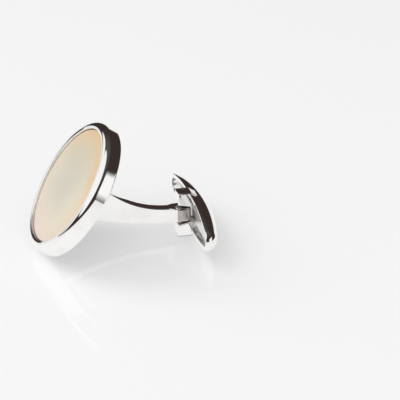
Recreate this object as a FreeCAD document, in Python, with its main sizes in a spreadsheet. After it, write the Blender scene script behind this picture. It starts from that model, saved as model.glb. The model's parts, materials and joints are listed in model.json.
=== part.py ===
"""Round cufflink with a mother-of-pearl inlay and a swivelling boat-shaped toggle.

The cufflink lies on a table: +Z is up, +X runs from the head along the arm to the toggle, and the
toggle lies along Y. The back edge of the head and the lower ear of the toggle touch Z = 0. The
origin is the middle of the outline on the table. Lengths are in millimetres, angles in degrees.
"""
import FreeCAD
import Part
import Sketcher
import math
import os

# Driving dimensions
SIZES = {
    "head_radius": 9.35,
    "head_depth": 2.25,
    "back_edge_radius": 0.3,
    "rim_width": 1.18,
    "rim_round": 0.85,
    "rim_rise": 0.25,
    "rim_skirt": 0.12,
    "inlay_thickness": 0.8,
    "inlay_bevel": 0.2,
    "glue_film": 0.06,
    "seat_gap": 0.02,
    "peg_radius": 0.5,
    "peg_length": 1.0,
    "arm_angle": 33.9,
    "arm_reach": 15.4,
    "arm_width": 1.35,
    "arm_edge_radius": 0.2,
    "neck_thickness": 2.0,
    "foot_up": 2.6,
    "foot_down": 3.3,
    "knuckle_half": 1.1,
    "knuckle_corner": 0.7,
    "knuckle_thickness": 2.05,
    "side_clearance": 0.1,
    "turn_clearance": 0.16,
    "pin_radius": 0.45,
    "pin_clearance": 0.04,
    "pin_recess": 0.05,
    "toggle_length": 20.4,
    "shell_half_width": 2.7,
    "shell_wall": 0.6,
    "shell_setback": 1.06,
    "nose_radius": 1.55,
    "rim_bow": 0.2,
    "ear_rise": 0.45,
    "ear_length": 2.0,
    "ear_reach": 0.75,
    "ear_taper": 0.35,
    "ear_taper_length": 1.5,
    "ear_edge_radius": 0.2,
    "root_bury": 0.1,
    "spring_thickness": 0.25,
    "spring_width": 1.6,
    "spring_clearance": 0.06,
}

# Sizes and places that follow from the driving dimensions
DERIVED = {
    "lean_sin": "sin(arm_angle * 1 deg)",
    "lean_cos": "cos(arm_angle * 1 deg)",
    "head_turn": "90 - arm_angle",
    # Head, about its own axis, with the face of the inlay at height 0
    "bore_radius": "head_radius - rim_width",
    "inlay_radius": "bore_radius - seat_gap",
    "inlay_flat": "inlay_radius - inlay_bevel",
    "rim_axis": "head_radius - rim_round",
    "rim_level": "rim_rise - rim_round",
    "lip_round": "(rim_axis - bore_radius) / cos(45 deg)",
    "lip_level": "rim_rise - lip_round + lip_round * sin(45 deg)",
    "ring_depth": "rim_skirt - rim_level",
    "floor_depth": "inlay_thickness + glue_film",
    "back_radius": "head_radius - back_edge_radius",
    "back_edge_level": "back_edge_radius - head_depth",
    "socket_radius": "peg_radius + seat_gap",
    "socket_floor": "peg_length + seat_gap - head_depth",
    # The lie on the table
    "head_height": "back_radius * lean_cos - back_edge_level * lean_sin + back_edge_radius",
    "pivot_height": "shell_half_width + ear_rise",
    "front_overhang": "rim_axis * lean_sin + rim_level * lean_cos + rim_round",
    "crown_reach": "shell_setback + shell_half_width",
    "pivot_place": "(arm_reach + front_overhang - crown_reach) / 2",
    "head_place": "pivot_place - arm_reach",
    # Arm, in its upright mid plane, from the pivot
    "back_x": "head_depth * lean_cos - arm_reach",
    "back_z": "head_height - head_depth * lean_sin - pivot_height",
    "foot_top_x": "back_x + foot_up * lean_sin",
    "foot_top_z": "back_z + foot_up * lean_cos",
    "foot_low_x": "back_x - foot_down * lean_sin",
    "foot_low_z": "back_z - foot_down * lean_cos",
    "neck_half": "neck_thickness / 2",
    "neck_length": "sqrt(ear_reach ^ 2 + ear_length ^ 2 / 4) + turn_clearance",
    "top_run": "foot_top_x + neck_length",
    "top_rise": "foot_top_z - neck_half",
    "top_arc": "(top_run ^ 2 + top_rise ^ 2) / (2 * top_rise)",
    "low_run": "foot_low_x + neck_length",
    "low_rise": "foot_low_z + neck_half",
    "low_arc": "(low_run ^ 2 + low_rise ^ 2) / (2 * low_rise)",
    "peg_start_x": "back_x + peg_length * lean_cos",
    "peg_start_z": "back_z - peg_length * lean_sin",
    "knuckle_flat": "knuckle_half - knuckle_corner",
    "knuckle_turn": "knuckle_flat * sqrt(2) + knuckle_corner",
    # Toggle, from the pivot, with its hollow facing the head
    "toggle_half": "toggle_length / 2",
    "nose_place": "toggle_half - nose_radius",
    "girth_step": "shell_half_width - nose_radius",
    "side_arc": "(nose_place ^ 2 + shell_half_width ^ 2 - nose_radius ^ 2) / (2 * girth_step)",
    "arc_share": "1 / (side_arc - nose_radius)",
    "outer_join_x": "(side_arc - shell_half_width) * nose_radius * arc_share",
    "outer_join_y": "nose_place * side_arc * arc_share",
    "hollow_half": "toggle_half - shell_wall",
    "hollow_nose": "nose_radius - shell_wall",
    "hollow_arc": "side_arc - shell_wall",
    "hollow_join_x": "(side_arc - shell_half_width) * hollow_nose * arc_share",
    "hollow_join_y": "nose_place * hollow_arc * arc_share",
    "rim_tip": "arm_width / 2 + turn_clearance",
    "rim_middle": "rim_tip + rim_bow",
    "rim_arc": "(toggle_half ^ 2 + rim_bow ^ 2) / (2 * rim_bow)",
    "trim_half": "toggle_half + shell_wall",
    "trim_front": "shell_setback - shell_half_width - shell_wall",
    "slot_half": "knuckle_thickness / 2 + side_clearance",
    "ear_tip_run": "ear_taper_length - ear_reach",
    "ear_tip_low": "slot_half + ear_taper",
    "ear_inner_x": "shell_setback + shell_wall",
    "ear_root_x": "shell_setback + shell_half_width * cos(60 deg)",
    "ear_root_top": "shell_half_width * sin(60 deg) - root_bury",
    "hollow_width": "shell_half_width - shell_wall",
    "ear_root_low": "sqrt(hollow_width ^ 2 - shell_half_width ^ 2 * cos(60 deg) ^ 2) + root_bury",
    "ear_hole": "pin_radius + seat_gap / 2",
    "knuckle_hole": "pin_radius + pin_clearance",
    "pin_length": "2 * (pivot_height - pin_recess)",
    "spring_front": "knuckle_turn + spring_clearance",
    "spring_back": "spring_front + spring_thickness - shell_setback",
    "spring_corner": "sqrt(spring_back ^ 2 + spring_width ^ 2 / 4)",
    "spring_seat": "spring_corner - shell_half_width + side_arc",
    "spring_length": "2 * sqrt(hollow_arc ^ 2 - spring_seat ^ 2) - 2 * seat_gap",
}

LEFT_OF_RUN = 1
RIGHT_OF_RUN = -1
MATCH = 1e-4

doc = FreeCAD.newDocument("cufflink")
sheet = doc.addObject("Spreadsheet::Sheet", "sizes")


def fill_sheet():
    """Writes the driving dimensions and the formulas that follow from them."""
    row = 1
    for alias, value in SIZES.items():
        sheet.set(f"A{row}", str(value))
        sheet.setAlias(f"A{row}", alias)
        row += 1
    for alias, formula in DERIVED.items():
        sheet.set(f"A{row}", "=" + formula)
        sheet.setAlias(f"A{row}", alias)
        row += 1
    doc.recompute()


def number(name):
    """Gives the value of a sheet name, of its negative, or of plain zero."""
    if name == "0":
        return 0.0
    if name.startswith("-"):
        return -float(sheet.get(name[1:]))
    return float(sheet.get(name))


def formula_of(name):
    """Turns a sheet name, or its negative, into an expression."""
    return "-sizes." + name[1:] if name.startswith("-") else "sizes." + name


def bind(target, **names):
    """Ties properties to the sheet, with a double underscore for each dot of a property's path."""
    for path, name in names.items():
        target.setExpression(path.replace("__", "."), formula_of(name))


def place(target, x, z, turn=None):
    """Puts a piece in the upright mid plane, turned about Y where a turn is named."""
    if turn:
        rotation = FreeCAD.Rotation(FreeCAD.Vector(0, -1, 0), number(turn))
        target.Placement = FreeCAD.Placement(FreeCAD.Vector(), rotation)
        bind(target, Placement__Rotation__Angle=turn)
    bind(target, Placement__Base__x=x, Placement__Base__z=z)


def new_body(name):
    """Adds an empty body whose label names the piece."""
    body = doc.addObject("PartDesign::Body", name)
    body.Label = name
    return body


def plane_of(body, role):
    """Finds one of the body's own origin planes."""
    return next(feature for feature in body.Origin.OriginFeatures if feature.Role == role)


def new_sketch(body, name, role):
    """Adds an empty sketch on one of the body's origin planes."""
    sketch = body.newObject("Sketcher::SketchObject", name)
    sketch.AttachmentSupport = [(plane_of(body, role), "")]
    sketch.MapMode = "FlatFace"
    return sketch


def locate(sketch, edge, end, x, y):
    """Dimensions one end of a sketch edge from the sketch's origin."""
    for kind, axis, name in (("DistanceX", -2, x), ("DistanceY", -1, y)):
        if name == "0":
            sketch.addConstraint(Sketcher.Constraint("PointOnObject", edge, end, axis))
            continue
        index = sketch.addConstraint(Sketcher.Constraint(kind, -1, 1, edge, end, number(name)))
        sketch.setExpression(f"Constraints[{index}]", formula_of(name))


def arc_between(start, end, radius, side):
    """Makes the shorter arc between two points that bulges to one side of the run."""
    run = end - start
    half = run.Length / 2
    across = FreeCAD.Vector(-run.y, run.x, 0).normalize() * side
    rise = radius - math.sqrt(radius ** 2 - half ** 2)
    return Part.Arc(start, (start + end) / 2 + across * rise, end)


def outline(sketch, corners):
    """Draws a closed outline.

    Each corner holds its x and y names and, where an arc leads to the next corner, the arc's radius
    and the side of the run on which it bulges.
    """
    points = [FreeCAD.Vector(number(corner[0]), number(corner[1]), 0) for corner in corners]
    heads = []
    tails = []
    for index, corner in enumerate(corners):
        start = points[index]
        end = points[(index + 1) % len(points)]
        is_arc = len(corner) == 4
        line = Part.LineSegment(start, end)
        shape = arc_between(start, end, number(corner[2]), corner[3]) if is_arc else line
        edge = sketch.addGeometry(shape)
        forward = sketch.getPoint(edge, 1).distanceToPoint(start) < MATCH
        heads.append((edge, 1 if forward else 2))
        tails.append((edge, 2 if forward else 1))
    for index, corner in enumerate(corners):
        sketch.addConstraint(Sketcher.Constraint("Coincident", *tails[index - 1], *heads[index]))
        locate(sketch, *heads[index], corner[0], corner[1])
        if len(corner) == 4:
            edge = heads[index][0]
            bound = sketch.addConstraint(Sketcher.Constraint("Radius", edge, number(corner[2])))
            sketch.setExpression(f"Constraints[{bound}]", formula_of(corner[2]))


def circle(sketch, radius):
    """Draws a circle about the sketch's origin."""
    shape = Part.Circle(FreeCAD.Vector(), FreeCAD.Vector(0, 0, 1), number(radius))
    edge = sketch.addGeometry(shape)
    sketch.addConstraint(Sketcher.Constraint("Coincident", edge, 3, -1, 1))
    bound = sketch.addConstraint(Sketcher.Constraint("Radius", edge, number(radius)))
    sketch.setExpression(f"Constraints[{bound}]", formula_of(radius))


def revolve(body, kind, name, sketch):
    """Turns a sketch right round its own upright axis."""
    feature = body.newObject("PartDesign::" + kind, name)
    feature.Profile = sketch
    feature.ReferenceAxis = (sketch, ["V_Axis"])
    feature.Angle = 360
    return feature


def pad(body, name, sketch, length):
    """Raises a sketch evenly to both sides of its plane."""
    feature = body.newObject("PartDesign::Pad", name)
    feature.Profile = sketch
    feature.SideType = "Symmetric"
    bind(feature, Length=length)
    return feature


def cut_through(body, name, sketch):
    """Cuts a sketch right through to both sides of its plane."""
    feature = body.newObject("PartDesign::Pocket", name)
    feature.Profile = sketch
    feature.SideType = "Symmetric"
    feature.Type = "ThroughAll"
    return feature


def round_edges(body, name, base, radius, chosen):
    """Rounds the edges of a feature that a test picks."""
    doc.recompute()
    feature = body.newObject("PartDesign::Fillet", name)
    edges = [f"Edge{i + 1}" for i, edge in enumerate(base.Shape.Edges) if chosen(edge)]
    feature.Base = (base, edges)
    bind(feature, Radius=radius)
    return feature


def make_bezel_ring():
    """Makes the rim: a ring that rounds over into the wall of the head, with a lip that meets the inlay."""
    body = new_body("bezel_ring")
    sketch = new_sketch(body, "ring_section", "XZ_Plane")
    outline(sketch, [
        ("bore_radius", "-ring_depth"),
        ("head_radius", "-ring_depth"),
        ("head_radius", "rim_level", "rim_round", RIGHT_OF_RUN),
        ("rim_axis", "rim_rise", "lip_round", RIGHT_OF_RUN),
        ("bore_radius", "lip_level"),
    ])
    revolve(body, "Revolution", "ring_turned", sketch)
    place(body, "head_place", "head_height", "head_turn")
    return body


def make_back_cup():
    """Makes the body of the head: a seat for the rim, a bed for the inlay and a socket behind."""
    body = new_body("back_cup")
    sketch = new_sketch(body, "cup_section", "XZ_Plane")
    outline(sketch, [
        ("0", "socket_floor"),
        ("socket_radius", "socket_floor"),
        ("socket_radius", "-head_depth"),
        ("back_radius", "-head_depth", "back_edge_radius", RIGHT_OF_RUN),
        ("head_radius", "back_edge_level"),
        ("head_radius", "-ring_depth"),
        ("bore_radius", "-ring_depth"),
        ("bore_radius", "-floor_depth"),
        ("0", "-floor_depth"),
    ])
    revolve(body, "Revolution", "cup_turned", sketch)
    place(body, "head_place", "head_height", "head_turn")
    return body


def make_pearl_inlay():
    """Makes the flat disc of mother-of-pearl with its bevelled edge."""
    body = new_body("pearl_inlay")
    sketch = new_sketch(body, "inlay_section", "XZ_Plane")
    outline(sketch, [
        ("0", "-inlay_thickness"),
        ("inlay_radius", "-inlay_thickness"),
        ("inlay_radius", "-inlay_bevel"),
        ("inlay_flat", "0"),
        ("0", "0"),
    ])
    revolve(body, "Revolution", "inlay_turned", sketch)
    place(body, "head_place", "head_height", "head_turn")
    return body


def make_adhesive_bed():
    """Makes the film of glue between the inlay and the cup."""
    body = new_body("adhesive_bed")
    sketch = new_sketch(body, "film_section", "XZ_Plane")
    outline(sketch, [
        ("0", "-floor_depth"),
        ("inlay_radius", "-floor_depth"),
        ("inlay_radius", "-inlay_thickness"),
        ("0", "-inlay_thickness"),
    ])
    revolve(body, "Revolution", "film_turned", sketch)
    place(body, "head_place", "head_height", "head_turn")
    return body


def make_arm():
    """Makes the curved strap with its peg in the head and its square knuckle at the toggle."""
    body = new_body("arm")
    side = new_sketch(body, "arm_side", "XZ_Plane")
    outline(side, [
        ("0", "-neck_half"),
        ("0", "neck_half"),
        ("-neck_length", "neck_half", "top_arc", LEFT_OF_RUN),
        ("foot_top_x", "foot_top_z"),
        ("foot_low_x", "foot_low_z", "low_arc", RIGHT_OF_RUN),
        ("-neck_length", "-neck_half"),
    ])
    strap = pad(body, "strap", side, "arm_width")

    def along_strap(edge):
        """Picks the long edges of the strap, between the foot and the pivot."""
        flat = all(abs(abs(v.Y) - number("arm_width") / 2) < MATCH for v in edge.Vertexes)
        spread = edge.BoundBox
        on_foot = all(v.X < number("foot_top_x") + MATCH for v in edge.Vertexes)
        return flat and spread.YLength < MATCH and spread.XLength > MATCH and not on_foot

    round_edges(body, "strap_rounded", strap, "arm_edge_radius", along_strap)
    cam = new_sketch(body, "knuckle_outline", "XY_Plane")
    outline(cam, [
        ("knuckle_half", "-knuckle_flat"),
        ("knuckle_half", "knuckle_flat", "knuckle_corner", RIGHT_OF_RUN),
        ("knuckle_flat", "knuckle_half"),
        ("-knuckle_flat", "knuckle_half", "knuckle_corner", RIGHT_OF_RUN),
        ("-knuckle_half", "knuckle_flat"),
        ("-knuckle_half", "-knuckle_flat", "knuckle_corner", RIGHT_OF_RUN),
        ("-knuckle_flat", "-knuckle_half"),
        ("knuckle_flat", "-knuckle_half", "knuckle_corner", RIGHT_OF_RUN),
    ])
    pad(body, "knuckle", cam, "knuckle_thickness")
    peg = body.newObject("PartDesign::AdditiveCylinder", "peg")
    bind(peg, Radius="peg_radius")
    peg.setExpression("Height", "2 * sizes.peg_length")
    place(peg, "peg_start_x", "peg_start_z", "head_turn")
    bore = new_sketch(body, "knuckle_bore", "XY_Plane")
    circle(bore, "knuckle_hole")
    cut_through(body, "knuckle_drilled", bore)
    place(body, "pivot_place", "pivot_height")
    return body


def spindle(body, kind, name, tip, join_x, join_y, nose, side):
    """Turns a boat-shaped outline about the toggle's long axis, as a solid or as a hollow."""
    sketch = new_sketch(body, name + "_outline", "XY_Plane")
    bind(sketch, AttachmentOffset__Base__x="shell_setback")
    outline(sketch, [
        ("0", "-" + tip, nose, RIGHT_OF_RUN),
        (join_x, "-" + join_y, side, RIGHT_OF_RUN),
        (join_x, join_y, nose, RIGHT_OF_RUN),
        ("0", tip),
    ])
    return revolve(body, kind, name, sketch)


def make_toggle_shell():
    """Makes the hollow boat with its bowed rim and its two drilled ears."""
    body = new_body("toggle_shell")
    spindle(body, "Revolution", "hull", "toggle_half", "outer_join_x", "outer_join_y",
            "nose_radius", "side_arc")
    spindle(body, "Groove", "hollow", "hollow_half", "hollow_join_x", "hollow_join_y",
            "hollow_nose", "hollow_arc")
    rim = new_sketch(body, "rim_outline", "XY_Plane")
    outline(rim, [
        ("rim_tip", "-toggle_half", "rim_arc", RIGHT_OF_RUN),
        ("rim_tip", "toggle_half"),
        ("rim_tip", "trim_half"),
        ("trim_front", "trim_half"),
        ("trim_front", "-trim_half"),
        ("rim_tip", "-trim_half"),
    ])
    cut_through(body, "rim_trimmed", rim)
    side = new_sketch(body, "ear_side", "XZ_Plane")
    outline(side, [
        ("-ear_reach", "ear_tip_low"),
        ("ear_tip_run", "slot_half"),
        ("ear_inner_x", "slot_half"),
        ("ear_root_x", "ear_root_low"),
        ("ear_root_x", "ear_root_top"),
        ("rim_middle", "pivot_height"),
        ("-ear_reach", "pivot_height"),
    ])
    ear = pad(body, "upper_ear", side, "ear_length")
    mirrored = body.newObject("PartDesign::Mirrored", "lower_ear")
    mirrored.Originals = [ear]
    mirrored.MirrorPlane = (plane_of(body, "XY_Plane"), [""])
    body.Tip = mirrored

    def on_ear_block(edge):
        """Picks the outer edges of both ears, on their flat outer faces."""
        return all(abs(abs(v.Z) - number("pivot_height")) < MATCH for v in edge.Vertexes)

    round_edges(body, "ears_rounded", mirrored, "ear_edge_radius", on_ear_block)
    bore = new_sketch(body, "ear_bore", "XY_Plane")
    circle(bore, "ear_hole")
    cut_through(body, "ears_drilled", bore)
    place(body, "pivot_place", "pivot_height")
    return body


def make_pivot_pin():
    """Makes the pin through both ears and the knuckle."""
    body = new_body("pivot_pin")
    sketch = new_sketch(body, "pin_section", "XY_Plane")
    circle(sketch, "pin_radius")
    pad(body, "pin", sketch, "pin_length")
    place(body, "pivot_place", "pivot_height")
    return body


def make_click_spring():
    """Makes the leaf that spans the hollow of the toggle behind the knuckle."""
    leaf = doc.addObject("Part::Box", "click_spring")
    leaf.Label = "click_spring"
    bind(leaf, Length="spring_thickness", Width="spring_length", Height="spring_width")
    leaf.setExpression("Placement.Base.x", "sizes.pivot_place + sizes.spring_front")
    leaf.setExpression("Placement.Base.y", "-sizes.spring_length / 2")
    leaf.setExpression("Placement.Base.z", "sizes.pivot_height - sizes.spring_width / 2")
    return leaf


def check(pieces):
    """Stops before anything is written if a feature or a piece failed."""
    for item in doc.Objects:
        if "Invalid" in item.State or "Error" in item.State:
            raise RuntimeError(f"{item.Name} failed: {item.State}")
    for piece in pieces:
        if piece.Shape.isNull() or not piece.Shape.isValid() or len(piece.Shape.Solids) != 1:
            raise RuntimeError(f"{piece.Label} is not one valid solid")


def main():
    """Builds every piece and writes each to a file of its own."""
    fill_sheet()
    pieces = [
        make_bezel_ring(),
        make_back_cup(),
        make_pearl_inlay(),
        make_adhesive_bed(),
        make_arm(),
        make_toggle_shell(),
        make_pivot_pin(),
        make_click_spring(),
    ]
    doc.recompute()
    check(pieces)
    os.makedirs("parts", exist_ok=True)
    for piece in pieces:
        piece.Shape.exportStep(f"parts/{piece.Label}.step")
        box = piece.Shape.optimalBoundingBox()
        print(f"{piece.Label}: {piece.Shape.Volume:.2f} mm3, X {box.XMin:.2f} {box.XMax:.2f}, "
              f"Y {box.YMin:.2f} {box.YMax:.2f}, Z {box.ZMin:.2f} {box.ZMax:.2f}")


main()
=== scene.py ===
"""Dresses a round cufflink: polished head, mother-of-pearl inlay, curved arm and boat-shaped toggle.

Sizes are in millimetres and are turned into metres where meshes are made. The head is drawn in a frame
of its own, with the face of the inlay at height 0, and the arm and the toggle from the pivot.
"""

import json
import logging
import math
from abc import ABC, abstractmethod
from collections.abc import Callable, Iterable, Mapping, Sequence
from dataclasses import dataclass, field
from enum import Enum
from typing import Any, Union

import bmesh
import bpy
from mathutils import Matrix, Vector

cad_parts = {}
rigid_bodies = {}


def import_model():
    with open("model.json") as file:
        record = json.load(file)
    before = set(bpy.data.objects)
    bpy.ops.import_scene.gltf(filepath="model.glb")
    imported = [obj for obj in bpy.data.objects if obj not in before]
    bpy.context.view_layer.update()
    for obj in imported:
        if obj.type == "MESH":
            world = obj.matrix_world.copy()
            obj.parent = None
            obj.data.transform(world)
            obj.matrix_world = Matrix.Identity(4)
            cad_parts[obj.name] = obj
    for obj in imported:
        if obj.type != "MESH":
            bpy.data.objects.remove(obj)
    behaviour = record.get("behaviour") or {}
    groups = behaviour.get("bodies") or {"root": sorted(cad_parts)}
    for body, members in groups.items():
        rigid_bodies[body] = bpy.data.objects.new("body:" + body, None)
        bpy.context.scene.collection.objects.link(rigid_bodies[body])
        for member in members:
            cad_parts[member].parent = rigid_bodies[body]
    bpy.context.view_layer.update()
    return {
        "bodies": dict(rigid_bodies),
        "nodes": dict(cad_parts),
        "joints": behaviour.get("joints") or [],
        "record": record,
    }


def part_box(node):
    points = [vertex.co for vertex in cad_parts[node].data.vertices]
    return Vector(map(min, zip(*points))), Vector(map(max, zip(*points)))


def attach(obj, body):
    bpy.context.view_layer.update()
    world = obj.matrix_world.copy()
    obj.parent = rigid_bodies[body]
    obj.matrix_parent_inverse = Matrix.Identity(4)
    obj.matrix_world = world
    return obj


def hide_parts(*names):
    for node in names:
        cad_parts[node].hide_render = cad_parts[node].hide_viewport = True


LOG = logging.getLogger("cufflink")
MM = 0.001
TINY = 1e-7
SHARP_EDGE = 38.0
FACE_WEIGHT = 80
CORNER_SAMPLES = 8
MIX_FIRST, MIX_SECOND, MIX_RESULT = 6, 7, 2
DRILL_REACH = 5.0

Pair = tuple[float, float]
Triple = tuple[float, float, float]
Colour = Triple
Row = list[Vector]
Level = Union["Wire", float]


class Body(Enum):
    """The two bodies that the toggle's pin joins."""

    HEAD_AND_ARM = "head_and_arm"
    TOGGLE = "toggle"


class Slot(Enum):
    """The finishes that the record names for the pieces made here."""

    PLATED_METAL = "plated_metal"
    MOTHER_OF_PEARL = "mother_of_pearl"
    PIN_STEEL = "pin_steel"
    SPRING_STEEL = "spring_steel"


@dataclass(frozen=True)
class Grain:
    """Cloud-like noise over a piece, in clouds per millimetre, with finer layers and a way to run."""

    scale: float
    detail: float = 2.0
    rough: float = 0.5
    stretch: Triple = (1.0, 1.0, 1.0)
    turn: Triple = (0.0, 0.0, 0.0)


class Wire:
    """A node's output that plain operators turn into Math nodes."""

    def __init__(self, board: "Board", socket: bpy.types.NodeSocket) -> None:
        """Keeps the socket and the board that it lies on."""
        self.board = board
        self.socket = socket

    def __add__(self, other: Level) -> "Wire":
        """Adds a value."""
        return self.board.math("ADD", self, other)

    def __radd__(self, other: Level) -> "Wire":
        """Adds to a value."""
        return self.board.math("ADD", other, self)

    def __sub__(self, other: Level) -> "Wire":
        """Takes a value away."""
        return self.board.math("SUBTRACT", self, other)

    def __rsub__(self, other: Level) -> "Wire":
        """Is taken away from a value."""
        return self.board.math("SUBTRACT", other, self)

    def __mul__(self, other: Level) -> "Wire":
        """Multiplies by a value."""
        return self.board.math("MULTIPLY", self, other)

    def __rmul__(self, other: Level) -> "Wire":
        """Multiplies a value."""
        return self.board.math("MULTIPLY", other, self)

    def __truediv__(self, other: Level) -> "Wire":
        """Divides by a value."""
        return self.board.math("DIVIDE", self, other)

    def __rtruediv__(self, other: Level) -> "Wire":
        """Divides a value."""
        return self.board.math("DIVIDE", other, self)

    def __pow__(self, other: Level) -> "Wire":
        """Raises to a power."""
        return self.board.math("POWER", self, other)

    def __rpow__(self, other: Level) -> "Wire":
        """Is the power of a value."""
        return self.board.math("POWER", other, self)


class Board:
    """A node tree that is filled through one method."""

    def __init__(self, tree: bpy.types.NodeTree) -> None:
        """Empties the tree of a material or of the world."""
        self.tree = tree
        self.tree.nodes.clear()

    def node(self, kind: str, settings: Mapping[str, Any],
             inputs: Mapping[str | int, Any]) -> bpy.types.Node:
        """Adds a node.

        Args:
            kind: The node's type.
            settings: Its properties, which are set first.
            inputs: A value or a wire for each socket, by name or number.

        Returns:
            The node.
        """
        node = self.tree.nodes.new(kind)
        for name, value in settings.items():
            setattr(node, name, value)
        for name, value in inputs.items():
            if isinstance(value, Wire):
                self.tree.links.new(value.socket, node.inputs[name])
            else:
                node.inputs[name].default_value = value
        return node

    def add(self, kind: str, settings: Mapping[str, Any], inputs: Mapping[str | int, Any],
            output: str | int = 0) -> Wire:
        """Adds a node and hands back one of its outputs, by name or number."""
        return Wire(self, self.node(kind, settings, inputs).outputs[output])

    def math(self, operation: str, first: Level, second: Level) -> Wire:
        """Joins two values in a Math node."""
        return self.add("ShaderNodeMath", {"operation": operation}, {0: first, 1: second})

    def mix(self, factor: Level, first: Wire | Colour, second: Wire | Colour) -> Wire:
        """Mixes two colours.

        Args:
            factor: The share of the second colour.
            first: The colour at 0.
            second: The colour at 1.

        Returns:
            The mixed colour.
        """
        inputs: dict[int, Any] = {0: factor}
        for number, side in ((MIX_FIRST, first), (MIX_SECOND, second)):
            inputs[number] = side if isinstance(side, Wire) else (*side, 1.0)
        settings = {"data_type": "RGBA", "clamp_factor": True}
        return self.add("ShaderNodeMix", settings, inputs, MIX_RESULT)

    def step(self, value: Level, low: float, high: float) -> Wire:
        """Rises smoothly from 0 at low to 1 at high."""
        limits = {"Value": value, "From Min": low, "From Max": high}
        return self.add("ShaderNodeMapRange", {"interpolation_type": "SMOOTHSTEP"}, limits)

    def axes(self, vector: Wire, names: str) -> list[Wire]:
        """Gives a vector's parts along the named axes."""
        return [self.add("ShaderNodeSeparateXYZ", {}, {0: vector}, name) for name in names]

    def rays(self, *names: str) -> list[Wire]:
        """Gives what the named outputs say of the ray that is traced."""
        return [self.add("ShaderNodeLightPath", {}, {}, name) for name in names]

    def place(self, stretch: Triple = (1.0, 1.0, 1.0), turn: Triple = (0.0, 0.0, 0.0)) -> Wire:
        """Gives the piece's own coordinates in millimetres.

        Args:
            stretch: A further factor along each axis.
            turn: A turn about each axis, in radians.

        Returns:
            The coordinates as a vector.
        """
        own = self.add("ShaderNodeTexCoord", {}, {}, "Object")
        scale = tuple(factor / MM for factor in stretch)
        return self.add("ShaderNodeMapping", {}, {"Vector": own, "Rotation": turn, "Scale": scale})

    def noise(self, grain: Grain) -> Wire:
        """Lays a grain over the piece.

        Args:
            grain: The noise's sizes.

        Returns:
            A value round 0.5.
        """
        inputs = {"Vector": self.place(grain.stretch, grain.turn), "Scale": grain.scale,
                  "Detail": grain.detail, "Roughness": grain.rough}
        return self.add("ShaderNodeTexNoise", {"noise_dimensions": "3D"}, inputs)

    def bump(self, height: Wire, strength: float, depth: float) -> Wire:
        """Turns a height from 0 to 1 into a normal, with the depth in millimetres."""
        inputs = {"Strength": strength, "Distance": depth * MM, "Height": height}
        return self.add("ShaderNodeBump", {}, inputs)

    def crevice(self, reach: float) -> Wire:
        """Gives 1 in corners whose walls are within reach, in millimetres, and 0 on open faces."""
        settings = {"samples": CORNER_SAMPLES}
        return 1.0 - self.add("ShaderNodeAmbientOcclusion", settings, {"Distance": reach * MM}, "AO")

    def surface(self, inputs: Mapping[str, Any]) -> Wire:
        """Adds the shader of a plain surface."""
        return self.add("ShaderNodeBsdfPrincipled", {}, inputs)

    def close(self, shader: Wire, kind: str = "ShaderNodeOutputMaterial") -> None:
        """Links the shader to the tree's output."""
        self.node(kind, {}, {"Surface": shader})

    def close_metal(self, colour: Wire, rough: Wire, normal: Wire) -> None:
        """Links a metal to the tree's output."""
        inputs = {"Base Color": colour, "Metallic": 1.0, "Roughness": rough, "Normal": normal}
        self.close(self.surface(inputs))


class Finish(ABC):
    """A surface that makes its own material.

    A span is where a step rises from 0 to 1. A ripple or relief is a bump's strength and its depth.
    """

    name: str

    def material(self) -> bpy.types.Material:
        """Makes the material.

        Returns:
            The material, with the finish's name.
        """
        material = bpy.data.materials.new(self.name)
        material.use_nodes = True
        self.paint(Board(material.node_tree))
        return material

    @abstractmethod
    def paint(self, board: Board) -> None:
        """Lays the finish's nodes on a material's board."""


@dataclass(frozen=True)
class PolishedPlate(Finish):
    """Mirror-polished plating with wiping marks, and corners darkened: painted shade, with a little
    polish left in them.
    """

    name: str = "polished_plate"
    bright: Colour = (0.94, 0.935, 0.925)
    warm: Colour = (0.90, 0.885, 0.865)
    cloud: Grain = Grain(0.45, 3.0)
    warm_span: Pair = (0.35, 0.7)
    residue_and_shade: Colour = (0.10, 0.088, 0.082)
    residue_and_shade_share: float = 0.9
    residue_rough: float = 0.2
    corner_shade_reach: float = 0.45
    corner_shade_span: Pair = (0.32, 0.72)
    gloss: float = 0.035
    wipe: float = 0.05
    smear_share: float = 0.5
    smear_span: Pair = (0.4, 0.75)
    hair: Grain = Grain(2.2, 4.0, 0.6, (6.0, 0.35, 6.0), (0.5, 0.2, 0.9))
    hair_span: Pair = (0.58, 0.74)
    cross: Grain = Grain(2.0, 4.0, 0.6, (0.3, 5.0, 5.0), (0.2, 0.7, 0.3))
    cross_span: Pair = (0.6, 0.76)
    swell: Grain = Grain(0.55, 1.0)
    ripple: Pair = (0.5, 0.012)

    def paint(self, board: Board) -> None:
        """Lays the plating's nodes.

        Args:
            board: The material's board.
        """
        cloud = board.noise(self.cloud)
        along = board.step(board.noise(self.hair), *self.hair_span)
        marks = along + board.step(board.noise(self.cross), *self.cross_span)
        # Corners and grooves are darkened towards the near-black colour: painted shade, with a little
        # polish left there; the same mask roughens them.
        corner = board.step(board.crevice(self.corner_shade_reach), *self.corner_shade_span)
        colour = board.mix(board.step(cloud, *self.warm_span), self.bright, self.warm)
        colour = board.mix(corner * self.residue_and_shade_share, colour, self.residue_and_shade)
        smear = board.step(cloud, *self.smear_span) * self.wipe * self.smear_share
        rough = self.gloss + smear + marks * self.wipe + corner * self.residue_rough
        board.close_metal(colour, rough, board.bump(board.noise(self.swell), *self.ripple))


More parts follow.
